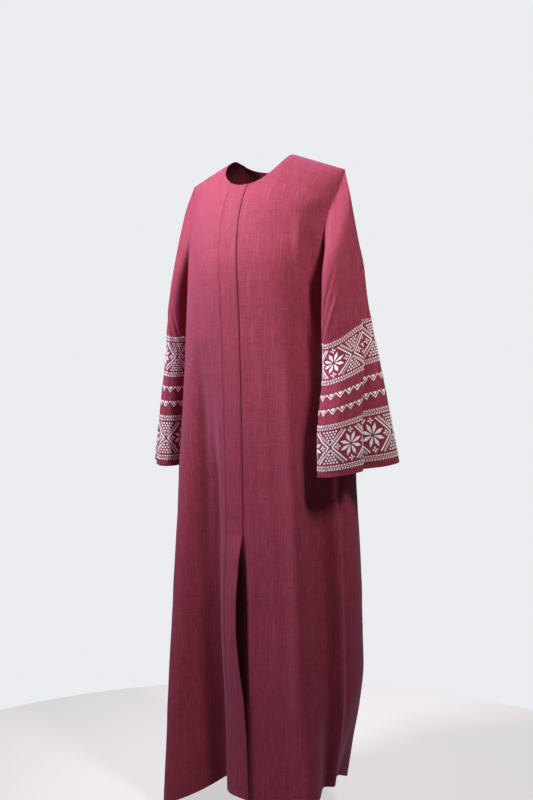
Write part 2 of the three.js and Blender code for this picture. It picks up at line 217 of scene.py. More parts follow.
# Creases of a sleeve: angle, share, slant, depth, half length in degrees, half width in shares.
SLEEVE_CREASES = [
    (95, 0.34, 0.25, -3.5, 34, 0.018),
    (70, 0.40, 0.30, 3.0, 30, 0.02),
    (110, 0.45, 0.20, -3.0, 30, 0.016),
    (250, 0.40, -0.25, -3.0, 36, 0.02),
    (285, 0.30, -0.3, 2.5, 30, 0.02),
]


def smooth(t):
    """An even step from 0 to 1, with soft ends."""
    s = np.clip(t, 0.0, 1.0)
    return s * s * (3 - 2 * s)


def mix(a, b, t):
    """The value between a and b at share t."""
    return a + (b - a) * t


def read_table(table, at, column):
    """The column's value at a place in a table, along a smooth curve through its rows."""
    keys, values = table[:, 0], table[:, column]
    last = len(keys) - 1
    place = np.clip(at, keys[0], keys[last])
    i = np.clip(np.searchsorted(keys, place, side="left") - 1, 0, last - 1)
    before, after = np.maximum(i - 1, 0), np.minimum(i + 2, last)
    span = keys[i + 1] - keys[i]
    start_slope = (values[i + 1] - values[before]) / (keys[i + 1] - keys[before])
    end_slope = (values[after] - values[i]) / (keys[after] - keys[i])
    t = (place - keys[i]) / span
    bend = (1 - t) * start_slope - t * end_slope
    return mix(values[i], values[i + 1], t * t * (3 - 2 * t)) + span * t * (1 - t) * bend


def angle_between(a, b):
    """Degrees from b to a, between -180 and 180."""
    return (a - b + 900) % 360 - 180


def bell(distance, wide):
    """1 at no distance, falling to about a third at wide."""
    return np.exp(-((distance / wide) ** 2))


def waves(a, b, seed):
    """Slow uneven waves over two directions, between about -1 and 1."""
    total = np.zeros(np.broadcast(a, b).shape)
    for k in range(1, 5):
        p, q = seed * 1.7 + k * 2.3, seed * 0.9 + k * 4.1
        total = total + np.sin(a * k * 1.31 + p + 0.8 * np.sin(b * 0.7 * k + q)) / k
    return total / 2


def fold_push(turn, down):
    """How far the long folds push the cloth out, in millimetres."""
    push = np.zeros(np.broadcast(turn, down).shape)
    for top, hem, start, depth, wide_top, wide_hem, power, full in BODY_FOLDS:
        along = np.clip((down - start) / (LENGTH - start), 0, None)
        reach = smooth(1 - (down - full) / (LENGTH - full)) if full else 1.0
        centre, wide = mix(top, hem, along), mix(wide_top, wide_hem, along)
        push = push + depth * along ** power * reach * bell(angle_between(turn, centre), wide)
    return push


def soft_detail(turn, down):
    """The small creases and waves that the solids leave out, in millimetres."""
    push = 0.9 * waves(np.radians(turn) * 4, down / 170, 1) * smooth(down / 300)
    push = push + 0.7 * waves(down / 60, np.radians(turn) * 5, 2) * smooth((down - 250) / 500)
    for at_top, at_hem, start, end, depth, wide in BODY_CREASES:
        along = (down - start) / (end - start)
        fade = smooth(along * 5) * smooth((1 - along) * 4)
        push = push + depth * fade * bell(angle_between(turn, mix(at_top, at_hem, along)), wide)
    for at, level, depth, wide_turn, wide_down in BODY_DIMPLES:
        push = push + depth * bell(angle_between(turn, at), wide_turn) * bell(down - level, wide_down)
    return push


def body_point(turn, down, lift=0.0):
    """Points of the body's outer face, moved out by lift. Arrays in, an array of points out."""
    turn, down = np.broadcast_arrays(np.asarray(turn, float), np.asarray(down, float))
    angle = np.radians(turn)
    half = read_table(BODY_SECTIONS, down, HALF)
    front, back = read_table(BODY_SECTIONS, down, FRONT), read_table(BODY_SECTIONS, down, BACK)
    depth = np.where(np.cos(angle) > 0, front, back)
    over = np.clip(down / SHOULDER_ROUND, 0, 1)
    depth = depth * np.sqrt(1 - (1 - over) ** 2)
    x, y = half * np.sin(angle), -depth * np.cos(angle)
    out_x, out_y = x / half ** 2, y / np.maximum(depth, LEAST_DEPTH) ** 2
    size = np.hypot(out_x, out_y)
    push = fold_push(turn, down) + soft_detail(turn, down) + lift
    beyond = np.maximum(0, np.abs(x) - NECK_HALF_WIDTH)
    drop = SHOULDER_SLOPE * beyond * (1 - smooth(down / SHOULDER_FADE))
    return np.stack([x + out_x / size * push, y + out_y / size * push, -down - drop], axis=-1)


def turn_at(side, down):
    """The turn of a place in front that lies this far to the side."""
    return np.degrees(np.arcsin(side / read_table(BODY_SECTIONS, down, HALF)))


def side_turn(down):
    """The turn of the side seam and of the armhole's front edge above it."""
    share = np.clip(down / UNDERARM, 0, 1)
    bow = (4 * share * (1 - share)) ** ARMHOLE_POWER
    return 90 - ARMHOLE_CUT_IN * bow * mix(ARMHOLE_TOP_SHARE, ARMHOLE_LOW_SHARE, share)


def neck_half(down, drop):
    """Half the width of the round neck at a level, and 0 below it."""
    return NECK_HALF_WIDTH * np.sqrt(np.clip(1 - (down / drop) ** 2, 0, None))


def hem_down(turn):
    """How far down the hem hangs at a turn."""
    return LENGTH - sum(lift * bell(angle_between(turn, at), wide) for at, lift, wide in HEM_LIFTS)


def lean(down):
    """How far the placket leans to the side at a level."""
    return read_table(PLACKET_LEAN, down, 1)


def levels_with(breaks):
    """Levels about a row step apart that pass through each of the breaks."""
    rows = []
    for a, b in zip(breaks[:-1], breaks[1:]):
        rows += list(np.linspace(a, b, max(1, round((b - a) / ROW_STEP)), endpoint=False))
    return np.array(rows + [breaks[-1]])


FRONT_TOP = [0, 2, 5, 10, 20, 42, 60, 68, 73, 76, 78, 79.3]
FRONT_ROWS = levels_with([*FRONT_TOP, FRONT_NECK_DROP, UNDERARM, BAND_FOOT, LENGTH])
BACK_ROWS = levels_with([0, 2, 5, 10, BACK_NECK_DROP, BACK_NECK_FADE, UNDERARM, BAND_FOOT, LENGTH])
BAND_ROWS = levels_with([FRONT_NECK_DROP, UNDERARM, BAND_FOOT, LENGTH])


def edge_shares(columns):
    """Even shares across a panel, with a few more near both edges."""
    even = np.linspace(0, 1, columns)
    near = np.array(EDGE_SHARES) * even[1]
    return np.sort(np.concatenate([even, near, 1 - near]))


def seam_groove(share, columns):
    """The cloth is pressed down beside the placket seam."""
    return -GROOVE_DEPTH * bell((1 - share) * columns, GROOVE_COLUMNS)


def body_grid(rows, columns, turns, lift, shift, dip=None):
    """The outer face of a body panel, as rows of points. turns gives a level's first and last turn."""
    level = rows[:, None]
    share = edge_shares(columns)[None, :]
    first, last = turns(level)
    turn = mix(first, last, share)
    stretch = smooth((level - HEM_CURVE_FROM) / (LENGTH - HEM_CURVE_FROM))
    down = level + (hem_down(turn) - LENGTH) * stretch
    if dip:
        down = down + dip(turn, level)
    return body_point(turn, down, lift(turn, down)) + shift(share, down)


def step_out(down):
    """The shoulder seam's own small step apart, at the top row only."""
    return np.where(down == 0, SEAM_GAP / 2, 0.0)


def vectors(x, y, z):
    """Points or ways from their three coordinates, as one array."""
    return np.stack(np.broadcast_arrays(x, y, z), axis=-1)


def unit(ways):
    return ways / np.maximum(np.linalg.norm(ways, axis=-1, keepdims=True), SMALLEST)


def moved(x, y):
    return vectors(x, y, 0.0)


def no_lift(turn, down):
    return 0


def front_right_grid():
    """The right front, from its side seam to the placket seam."""
    def turns(down):
        inner = np.maximum(neck_half(down, FRONT_NECK_DROP), -BAND_SEAM - lean(down) + SEAM_GAP)
        return 360 - side_turn(down), 360 - turn_at(inner, down)

    def lift(turn, down):
        return BAND_OVER * smooth((turn - 360 - STEP_UP_FROM) / STEP_UP_WIDTH)

    def shift(share, down):
        near = BAND_SEAM_SWING * smooth((share - FRONT_SWING_FROM) / (1 - FRONT_SWING_FROM))
        sideways, forward = read_table(BAND_SWING, down, 1), read_table(BAND_SWING, down, 2)
        groove = seam_groove(share, RIGHT_COLUMNS)
        return moved(sideways * near, -forward * near - step_out(down) - groove)

    return body_grid(FRONT_ROWS, RIGHT_COLUMNS, turns, lift, shift)


def placket_band_grid():
    """The band, from its seam on the right front to its free edge."""
    def turns(down):
        seam = BAND_SEAM + lean(down)
        return turn_at(seam, down), turn_at(seam + BAND_WIDTH, down)

    def shift(share, down):
        near = mix(BAND_SEAM_SWING, 1, share)
        forward = read_table(BAND_SWING, down, 2) * near + seam_groove(1 - share, BAND_COLUMNS)
        return moved(read_table(BAND_SWING, down, 1) * near, -forward)

    def dip(turn, level):
        side = read_table(BODY_SECTIONS, level, HALF) * np.sin(np.radians(turn)) / NECK_HALF_WIDTH
        rise = FRONT_NECK_DROP * (1 - np.sqrt(np.clip(1 - side ** 2, 0, None)))
        return -rise * np.clip(1 - (level - FRONT_NECK_DROP) / BAND_TOP_FADE, 0, None)

    def lift(turn, down):
        return BAND_OVER

    return body_grid(BAND_ROWS, BAND_COLUMNS, turns, lift, shift, dip)


def front_left_grid():
    """The left front, from the underlap's edge to its side seam."""
    def turns(down):
        neck = neck_half(down, FRONT_NECK_DROP)
        inner = np.where(neck > 0, neck, UNDERLAP_EDGE + lean(down))
        return turn_at(inner, down), side_turn(down)

    def shift(share, down):
        inward = np.where(down > BAND_FOOT, read_table(UNDERLAP_TURN, down, 1), 0)
        return moved(0 * down, inward * (1 - smooth(share / UNDERLAP_SHARE)) - step_out(down))

    return body_grid(FRONT_ROWS, LEFT_COLUMNS, turns, no_lift, shift)


def back_grid():
    """The back, from one side seam to the other."""
    def turns(down):
        side = side_turn(down)
        return 180 - side, 180 + side

    def dip(turn, level):
        side = BODY_SECTIONS[0, HALF] * np.sin(np.radians(turn)) / NECK_HALF_WIDTH
        drop = BACK_NECK_DROP * np.sqrt(np.clip(1 - side ** 2, 0, None))
        return drop * np.clip(1 - level / BACK_NECK_FADE, 0, None)

    def shift(share, down):
        return moved(0, step_out(down))

    return body_grid(BACK_ROWS, BACK_COLUMNS, turns, no_lift, shift, dip)


def ring_point(rings, folds, rounds, share):
    """Points of a sleeve's outer face. rounds is the angle from the sleeve's outer line, in degrees."""
    rounds, share = np.broadcast_arrays(rounds, share)
    x, y, z, across, rise, deep, yaw, nod = (read_table(rings, share, column) for column in range(1, 9))
    yaw = np.radians(yaw)
    out = vectors(across, 0.0, rise)
    fore = vectors(-np.sin(yaw) * deep, -np.cos(yaw) * deep, -nod)
    centre = vectors(x, y, z)
    cos, sin = np.cos(np.radians(rounds))[..., None], np.sin(np.radians(rounds))[..., None]
    along_out = out * cos / (out ** 2).sum(-1, keepdims=True)
    outward = unit(along_out + fore * sin / (fore ** 2).sum(-1, keepdims=True))
    push = np.zeros(rounds.shape)
    for at_start, at_hem, start, depth, wide in folds:
        along = np.clip((share - start) / (1 - start), 0, None)
        away = angle_between(rounds, mix(at_start, at_hem, np.sqrt(along)))
        push = push + depth * smooth(along * FOLD_GROWTH) * bell(away, wide)
    push = push + sleeve_detail(rounds, share)
    return centre + out * cos + fore * sin + outward * push[..., None]


def sleeve_detail(rounds, share):
    """Elbow creases and slow waves of a sleeve, in millimetres."""
    fade = smooth((share - 0.12) / 0.2)
    push = 1.0 * waves(np.radians(rounds) * 3, share * 5, 5) * fade
    push = push + 0.8 * waves(share * 16, np.radians(rounds) * 2, 6) * fade * smooth((0.9 - share) * 4)
    for at_start, at_hem, start, depth, wide in SLEEVE_LINES:
        along = np.clip((share - start) / (1 - start), 0, None)
        away = angle_between(rounds, mix(at_start, at_hem, np.sqrt(along)))
        push = push + depth * smooth(along * 5) * bell(away, wide)
    for at, share_at, slant, depth, long, wide in SLEEVE_CREASES:
        away = share - share_at - slant * angle_between(rounds, at) / 100
        push = push + depth * bell(angle_between(rounds, at), long) * bell(away, wide)
    return push


def down_at(rounds):
    """How far below the shoulder the armhole is, at an angle round the sleeve."""
    return UNDERARM * (1 - np.cos(np.radians(rounds))) / 2


def sleeve_point(rings, folds, rounds, share, is_right):
    """Points of a sleeve, with its head brought onto the armhole. A right sleeve comes as a left one."""
    down = down_at(rounds)
    around = (rounds + 360) % 360
    turn = np.where(around <= 180, side_turn(down), 180 - side_turn(down))
    hole = body_point(360 - turn if is_right else turn, down)
    if is_right:
        hole = hole * np.array([-1, 1, 1])
    hole = hole + np.array([SEAM_GAP, 0, 0])
    near = 1 - smooth(share / SLEEVE_HEAD_SHARE)
    start = ring_point(rings, folds, rounds, 0 * share)
    return ring_point(rings, folds, rounds, share) + (hole - start) * near[..., None]


def sleeve_grid(rings, folds, is_right):
    """The outer face of a sleeve, rows from the armhole to the hem. The last column repeats the first."""
    rounds = np.linspace(540, 180, SLEEVE_COLUMNS + 1)[None, :] % 360
    share = np.linspace(0, 1, SLEEVE_ROWS)[:, None]
    rounds, share = np.broadcast_arrays(rounds, share)
    grid = sleeve_point(rings, folds, rounds, share, is_right)
    return grid * np.array([-1, 1, 1]) if is_right else grid


def grid_normals(grid, is_tube):
    """Outward directions of a grid of points: rows go down, columns go round."""
    along = np.gradient(grid, axis=0)
    if is_tube:
        wrapped = np.concatenate([grid[:, -2:-1], grid, grid[:, 1:2]], axis=1)
        across = wrapped[:, 2:] - wrapped[:, :-2]
    else:
        across = np.gradient(grid, axis=1)
    return unit(np.cross(along, across))


def outward_normals(grid, is_tube, is_mirrored):
    normal = grid_normals(grid, is_tube)
    return -normal if is_mirrored else normal


def cloth_mesh(grid, thickness, is_tube, is_mirrored):
    """The points and faces of a closed thin shell: the grid is its outer face, its edges are rounded."""
    normal = outward_normals(grid, is_tube, is_mirrored)
    thick = np.broadcast_to(thickness, grid.shape[:2])[..., None]
    inner = grid - normal * thick
    middle = grid - normal * thick / 2
    rows, columns = grid.shape[:2]
    if is_tube:
        columns -= 1
        grid, inner, middle = grid[:, :-1], inner[:, :-1], middle[:, :-1]
        thick = thick[:, :-1]
    points = [grid.reshape(-1, 3), inner.reshape(-1, 3)]
    count = rows * columns
    outer_index = np.arange(count).reshape(rows, columns)
    inner_index = outer_index + count
    faces = []

    def quads(a, b, c, d):
        faces.append(np.stack([a.ravel(), b.ravel(), c.ravel(), d.ravel()], axis=-1))

    def wrap(index):
        return np.concatenate([index, index[:, :1]], axis=1) if is_tube else index

    o, i = wrap(outer_index), wrap(inner_index)
    quads(o[:-1, :-1], o[1:, :-1], o[1:, 1:], o[:-1, 1:])
    quads(i[:-1, :-1], i[:-1, 1:], i[1:, 1:], i[1:, :-1])

    def rim(edge, step):
        """A rounded edge along a line of the grid. step says which way the cloth ends."""
        ridge = edge["middle"] + unit(step) * edge["thick"] * RIM_ROUND
        index = np.arange(len(ridge)) + sum(len(p) for p in points)
        points.append(ridge)
        a, b, r = edge["outer"], edge["inner"], index
        if edge["closed"]:
            a, b, r = np.append(a, a[0]), np.append(b, b[0]), np.append(r, r[0])
        if edge["turn"]:
            quads(a[:-1], a[1:], r[1:], r[:-1])
            quads(r[:-1], r[1:], b[1:], b[:-1])
        else:
            quads(a[1:], a[:-1], r[:-1], r[1:])
            quads(r[1:], r[:-1], b[:-1], b[1:])

    def edge_of(cut, closed, turn):
        return {
            "outer": outer_index[cut],
            "inner": inner_index[cut],
            "middle": middle[cut],
            "thick": thick[cut],
            "closed": closed,
            "turn": turn,
        }

    top, bottom, left, right = np.s_[0, :], np.s_[-1, :], np.s_[:, 0], np.s_[:, -1]
    rim(edge_of(top, is_tube, True), grid[0] - grid[1])
    rim(edge_of(bottom, is_tube, False), grid[-1] - grid[-2])
    if not is_tube:
        rim(edge_of(left, False, False), grid[:, 0] - grid[:, 1])
        rim(edge_of(right, False, True), grid[:, -1] - grid[:, -2])
    return np.concatenate(points), np.concatenate(faces)


def new_mesh(name, points, faces, is_mirrored):
    """A mesh from points in millimetres. Mirrored points need their faces turned round."""
    mesh = bpy.data.meshes.new(name)
    if is_mirrored:
        faces = faces[:, ::-1]
    mesh.from_pydata((points * MM).tolist(), [], faces.tolist())
    return mesh


def add_uvs(mesh, name, lengths):
    """A UV layer from a pair of lengths in millimetres for each vertex."""
    loops = np.empty(len(mesh.loops), dtype=np.int32)
    mesh.loops.foreach_get("vertex_index", loops)
    layer = mesh.uv_layers.new(name=name)
    layer.data.foreach_set("uv", (lengths[loops] * MM).ravel().astype(np.float32))


def link_object(name, data):
    obj = bpy.data.objects.new(name, data)
    bpy.context.scene.collection.objects.link(obj)
    return obj


def build_cloth(name, grid, thickness, is_tube, is_mirrored):
    """A cloth shell as an object. Its UVs are lengths on the cloth, and 0 at the rounded edges."""
    points, faces = cloth_mesh(grid, thickness, is_tube, is_mirrored)
    mesh = new_mesh(name, points, faces, is_mirrored)
    flat = flat_lengths(grid, is_tube).reshape(-1, 2)
    edges = np.zeros((len(points) - 2 * len(flat), 2))
    add_uvs(mesh, "Cloth", np.concatenate([flat, flat, edges]))
    mesh.shade_smooth()
    mesh.set_sharp_from_angle(angle=SHARP_ANGLE)
    mesh.validate()
    return link_object(name, mesh)


def run_along(points, axis=0):
    """Lengths along lines of points, from 0 at the first one."""
    steps = np.linalg.norm(np.diff(points, axis=axis), axis=-1)
    return np.insert(np.cumsum(steps, axis=axis), 0, 0, axis=axis)


def flat_lengths(grid, is_tube):
    """Across and down lengths on the cloth, in millimetres. The grain of a body panel is true to the
    garment's middle, and that of a sleeve to its outer line."""
    u = run_along(grid, axis=1)
    rows = np.arange(len(grid))
    middle = np.full(len(grid), u.shape[1] // 2) if is_tube else np.argmin(abs(grid[..., 0]), axis=1)
    u = u - u[rows, middle][:, None] + (0 if is_tube else grid[rows, middle, 0][:, None])
    v = run_along(grid).mean(axis=1, keepdims=True) + 0 * u
    flat = np.stack([u, v], axis=-1)
    return flat[:, :-1] if is_tube else flat


def to_linear(hex_colour):
    """An sRGB hex colour as linear RGBA."""
    parts = [int(hex_colour[i:i + 2], 16) / 255 for i in (1, 3, 5)]
    return [c / 12.92 if c <= 0.04045 else ((c + 0.055) / 1.055) ** 2.4 for c in parts] + [1.0]


def set_inputs(node, **inputs):
    """Sets inputs by name, with an underscore for each space."""
    for key, value in inputs.items():
        node.inputs[key.replace("_", " ")].default_value = value


def add_node(tree, kind, settings=None, links=None, **inputs):
    """Adds a node, sets its properties and inputs, and links its inputs to other nodes' outputs."""
    node = tree.nodes.new(kind)
    for key, value in (settings or {}).items():
        setattr(node, key, value)
    set_inputs(node, **inputs)
    for key, socket in (links or {}).items():
        tree.links.new(socket, node.inputs[key])
    return node


def new_material(name):
    material = bpy.data.materials.new(name)
    material.use_nodes = True
    tree = material.node_tree
    tree.nodes.clear()
    shader = tree.nodes.new("ShaderNodeBsdfPrincipled")
    output = tree.nodes.new("ShaderNodeOutputMaterial")
    tree.links.new(shader.outputs["BSDF"], output.inputs["Surface"])
    return material, tree, shader


def streaks(tree, cloth, scale_u, scale_v, detail):
    """Noise drawn out along the threads: fine across them and long along them."""
    place = add_node(tree, "ShaderNodeMapping", links={"Vector": cloth})
    place.inputs["Scale"].default_value = (scale_u, scale_v, 1)
    return add_node(tree, "ShaderNodeTexNoise", {"noise_dimensions": "2D"}, {"Vector": place.outputs[0]},
                    Scale=1.0, Detail=detail, Roughness=0.55).outputs["Fac"]


def object_noise(tree, scale, detail):
    """Noise in the object's own space."""
    place = add_node(tree, "ShaderNodeTexCoord").outputs["Object"]
    noise = add_node(tree, "ShaderNodeTexNoise", links={"Vector": place}, Scale=scale, Detail=detail)
    return noise.outputs["Fac"]


def ramp(tree, value, low, high, to_low=0.0, to_high=1.0):
    """Maps a range of values onto another."""
    node = add_node(tree, "ShaderNodeMapRange", links={"Value": value})
    for key, number in zip(("From Min", "From Max", "To Min", "To Max"), (low, high, to_low, to_high)):
        node.inputs[key].default_value = number
    return node.outputs[0]


def blend_colour(tree, factor, first, second, mode="MIX"):
    node = tree.nodes.new("ShaderNodeMix")
    node.data_type = "RGBA"
    node.blend_type = mode
    for socket, value in ((node.inputs[0], factor), (node.inputs[6], first), (node.inputs[7], second)):
        if isinstance(value, (int, float, list, tuple)):
            socket.default_value = value
        else:
            tree.links.new(value, socket)
    return node.outputs[2]


def melange_cloth():
    """Linen-look polyester, plain woven from burgundy and pink-grey yarns: a cross-hatch of fine uneven
    threads and a soft, slightly dusty sheen. The threads are 0.5 mm apart and are drawn about three
    times coarser."""
    material, tree, shader = new_material("melange linen-look cloth")
    cloth = add_node(tree, "ShaderNodeUVMap", {"uv_map": "Cloth"}).outputs[0]
    warp = streaks(tree, cloth, 900, 40, 3)
    weft = streaks(tree, cloth, 34, 820, 3)
    warp_slub = streaks(tree, cloth, 330, 9, 2)
    weft_slub = streaks(tree, cloth, 8, 300, 2)
    cloudy = streaks(tree, cloth, 6, 4, 2)
    base = blend_colour(tree, ramp(tree, warp, 0.36, 0.64), to_linear("#7E2234"), to_linear("#99354B"))
    base = blend_colour(tree, ramp(tree, weft, 0.38, 0.66, 0, 0.5), base, to_linear("#6B1D2D"))
    base = blend_colour(tree, ramp(tree, warp_slub, 0.56, 0.72, 0, 0.25), base, to_linear("#AE5670"))
    base = blend_colour(tree, ramp(tree, weft_slub, 0.57, 0.72, 0, 0.25), base, to_linear("#591527"))
    base = blend_colour(tree, ramp(tree, cloudy, 0.3, 0.7, 0, 0.08), base, to_linear("#70233B"))
    tree.links.new(base, shader.inputs["Base Color"])
    height = add_node(tree, "ShaderNodeMath", {"operation": "ADD"})
    tree.links.new(warp, height.inputs[0])
    tree.links.new(weft, height.inputs[1])
    relief = {"Height": height.outputs[0]}
    bump = add_node(tree, "ShaderNodeBump", links=relief, Strength=0.35, Distance=0.0006)
    tree.links.new(bump.outputs[0], shader.inputs["Normal"])
    tree.links.new(ramp(tree, warp, 0.3, 0.7, 0.72, 0.86), shader.inputs["Roughness"])
    set_inputs(shader, Sheen_Weight=0.21, Sheen_Roughness=0.5, Sheen_Tint=to_linear("#E4C6F2"))
    set_inputs(shader, Specular_IOR_Level=0.3)
    return material


def embroidery_thread():
    """Rayon embroidery thread in satin stitches: silver-white, with a silky lustre broken by the lie of
    the threads. The threads are 0.4 mm apart and are drawn twice as coarse."""
    material, tree, shader = new_material("silver-white rayon thread")
    cloth = add_node(tree, "ShaderNodeUVMap", {"uv_map": "Thread"}).outputs[0]
    lie = streaks(tree, cloth, 1250, 60, 2)
    tone = streaks(tree, cloth, 90, 90, 2)
    base = blend_colour(tree, ramp(tree, lie, 0.34, 0.66), to_linear("#E2DFE6"), to_linear("#FFFFFF"))
    base = blend_colour(tree, ramp(tree, tone, 0.35, 0.7, 0, 0.15), base, to_linear("#DCD3DC"))
    tree.links.new(base, shader.inputs["Base Color"])
    bump = add_node(tree, "ShaderNodeBump", links={"Height": lie}, Strength=0.5, Distance=0.0005)
    tree.links.new(bump.outputs[0], shader.inputs["Normal"])
    set_inputs(shader, Roughness=0.38, Sheen_Weight=0.6, Specular_IOR_Level=0.5)
    return material


def sewing_thread():
    """Spun polyester sewing thread dyed to the cloth, a little deeper and smoother than the weave."""
    material, tree, shader = new_material("burgundy sewing thread")
    twist = object_noise(tree, 900.0, 2.0)
    base = blend_colour(tree, ramp(tree, twist, 0.35, 0.65), to_linear("#6B2038"), to_linear("#8C3650"))
    tree.links.new(base, shader.inputs["Base Color"])
    set_inputs(shader, Roughness=0.6)
    return material


PAPER_LIGHT = 0.66


def pale_floor():
    """Matt pale studio paper: near-white with the faintest mottling."""
    material, tree, shader = new_material("pale studio paper")
    grain = object_noise(tree, 3.0, 3.0)
    base = blend_colour(tree, ramp(tree, grain, 0.3, 0.7), to_linear("#B4B1B1"), to_linear("#B8B5B5"))
    tree.links.new(base, shader.inputs["Base Color"])
    set_inputs(shader, Roughness=0.9, Emission_Color=to_linear("#F4F1F2"))
    seen = add_node(tree, "ShaderNodeLightPath").outputs["Is Camera Ray"]
    tree.links.new(ramp(tree, seen, 0, 1, 0, PAPER_LIGHT), shader.inputs["Emission Strength"])
    return material


# The embroidery chart of one repeat, in millimetres round the sleeve and up. A stitched shape is a strip:
# pairs of left and right points along its length.
CHART_TALL = 108
CHART_HALF = CHART_TALL / 2
REPEAT = 96
STITCH_RISE = 0.9
STITCH_SUNK = 0.35
STITCH_BEVEL = 0.35
LONGEST_STEP = 8
BORDER_PITCH = 6.0
SQUARE_PITCH = 7.0
SQUARE = 4.0
ARM_SLOPE = 37 / 33
CHECKER_ROWS = 4
CHECKER_TOP = 35.5
CHECKER_DROP = 6.2
ARM_FOOT = 7
ARM_CLEARANCE = 5.2
TOOTH_TALL = 15
TOOTH_WIDE = 20


def bar(start, end, wide, end_wide=None):
    """A straight strip, which may widen or narrow to its end."""
    start, end = np.array(start, float), np.array(end, float)
    long = np.linalg.norm(end - start)
    side = np.array([start[1] - end[1], end[0] - start[0]]) / long
    share = np.linspace(0, 1, max(1, math.ceil(long / LONGEST_STEP)) + 1)[:, None]
    half = mix(wide, wide if end_wide is None else end_wide, share) / 2
    middle = mix(start, end, share)
    return np.stack([middle + side * half, middle - side * half], axis=1)


def leaf(start, end, wide, widest=0.5, tip=0.3):
    """A four-sided pointed shape."""
    start, end = np.array(start, float), np.array(end, float)
    middle = mix(start, end, widest)
    first, second = bar(start, middle, tip, wide), bar(middle, end, wide, tip)
    return np.concatenate([first, second[1:]])


def spoke(centre, degrees, near, far, wide, widest):
    """A leaf that points away from a centre."""
    way = np.array([math.cos(math.radians(degrees)), math.sin(math.radians(degrees))])
    return leaf(centre + way * near, centre + way * far, wide, widest)


def border_strips():
    """The lower border: slanted dashes like a rope, a thin line and a row of squares."""
    strips = []
    for k in range(round(REPEAT / BORDER_PITCH)):
        x = k * BORDER_PITCH
        strips.append(bar((x, 0.4), (x + 3.4, 4.0), 2.5))
        strips.append(bar((x, 6.2), (x + 5.6, 6.2), 1.1))
        strips.append(bar((x, 8.6), (x, 12.0), 3.4))
    return strips


def checker_strips():
    """Rows of small squares between the arms of each cross. Every other row is half a step on."""
    strips = []
    for row in range(CHECKER_ROWS):
        up = CHECKER_TOP - row * CHECKER_DROP
        reach = (up - ARM_FOOT) / ARM_SLOPE - ARM_CLEARANCE
        for k in range(-8, 9):
            x = (k + 0.5 * (row % 2)) * SQUARE_PITCH
            if abs(x) < reach:
                strips.append(bar((x, up - SQUARE / 2), (x, up + SQUARE / 2), SQUARE))
    return strips


def quarter_strips():
    """The upper right quarter round a cross's centre: a chevron arm and a hatched arm beside it."""
    strips = []
    arm = np.array([1, ARM_SLOPE]) / math.hypot(1, ARM_SLOPE)
    across = np.array([-arm[1], arm[0]])
    chevron = -across * 3.2 + arm * 2.6
    strips.append(bar(chevron, chevron + arm * 48, 3.2))
    for k in range(18):
        foot = arm * (5.5 + k * 2.4) + across * 1.3
        strips.append(bar(foot, foot + across * 4.6, 1.5))
    return strips


def band_strips():
    """One repeat of a broad band, from the middle of a star to the next."""
    strips = border_strips()
    strips += [strip * [1, -1] + [0, CHART_TALL] for strip in strips]
    quarter, checker = quarter_strips(), checker_strips()
    cross = [REPEAT / 2, CHART_HALF]
    for up in (1, -1):
        strips += [strip * [1, up] + cross for strip in quarter + checker]
        strips += [strip * [-1, up] + cross for strip in quarter]
    star = np.array([0, CHART_HALF])
    for k in range(8):
        strips.append(spoke(star, 22.5 + 45 * k, near=3, far=27, wide=8.6, widest=0.6))
    for k in range(4):
        flower = star + 31 * np.array([math.cos(k * math.pi / 2), math.sin(k * math.pi / 2)])
        strips += [spoke(flower, 90 * j, near=0.9, far=7.4, wide=4.4, widest=0.45) for j in range(4)]
    return strips


def zigzag_strips():
    """One tooth: a line down and up again, and a filled triangle in it."""
    lines = [bar((-10, 15), (0.5, 0.4), 2.1), bar((-0.5, 0.4), (10, 15), 2.1)]
    return lines + [bar((0, 14.4), (0, 6.6), 9.4, 0.6)]


def stitched_repeat(strips):
    """The strips as raised blocks with bevelled sides: chart points with their rise, faces, thread
    lengths."""
    points, faces, threads = [], [], []
    count = 0
    for strip in strips:
        middle = strip.mean(axis=1)
        steps = len(strip)
        run = run_along(middle)
        wide = np.linalg.norm(strip[:, 0] - strip[:, 1], axis=1)
        inset = np.clip(STITCH_BEVEL / wide, 0.05, 0.4)[:, None]
        low = np.full((steps, 1), -STITCH_SUNK)
        high = np.full((steps, 1), STITCH_RISE)
        left, right = strip[:, 0], strip[:, 1]
        ring = [
            np.hstack([left, low]), np.hstack([mix(left, right, inset), high]),
            np.hstack([mix(right, left, inset), high]), np.hstack([right, low]),
        ]
        points.append(np.stack(ring, axis=1).reshape(-1, 3))
        across = np.stack([0 * wide, inset[:, 0] * wide, (1 - inset[:, 0]) * wide, wide], axis=1)
        threads.append(np.stack([np.repeat(run[:, None], 4, axis=1), across], axis=-1).reshape(-1, 2))
        for i in range(steps - 1):
            a, b = count + 4 * i, count + 4 * i + 4
            faces += [(a + j, a + (j + 1) % 4, b + (j + 1) % 4, b + j) for j in range(4)]
        end = count + 4 * (steps - 1)
        faces += [(count + 3, count + 2, count + 1, count), (end, end + 1, end + 2, end + 3)]
        count += 4 * steps
    return np.concatenate(points), np.array(faces), np.concatenate(threads)


SURFACE_STEP = 3.0
SURFACE_TALL = 336
SURFACE_COLUMNS = 400
TILT_HIGH = 0.66


def along_line(line, stops):
    """Points at the given lengths along a line of points."""
    run = run_along(line)
    return np.stack([np.interp(stops, run, line[:, k]) for k in range(3)], axis=-1)


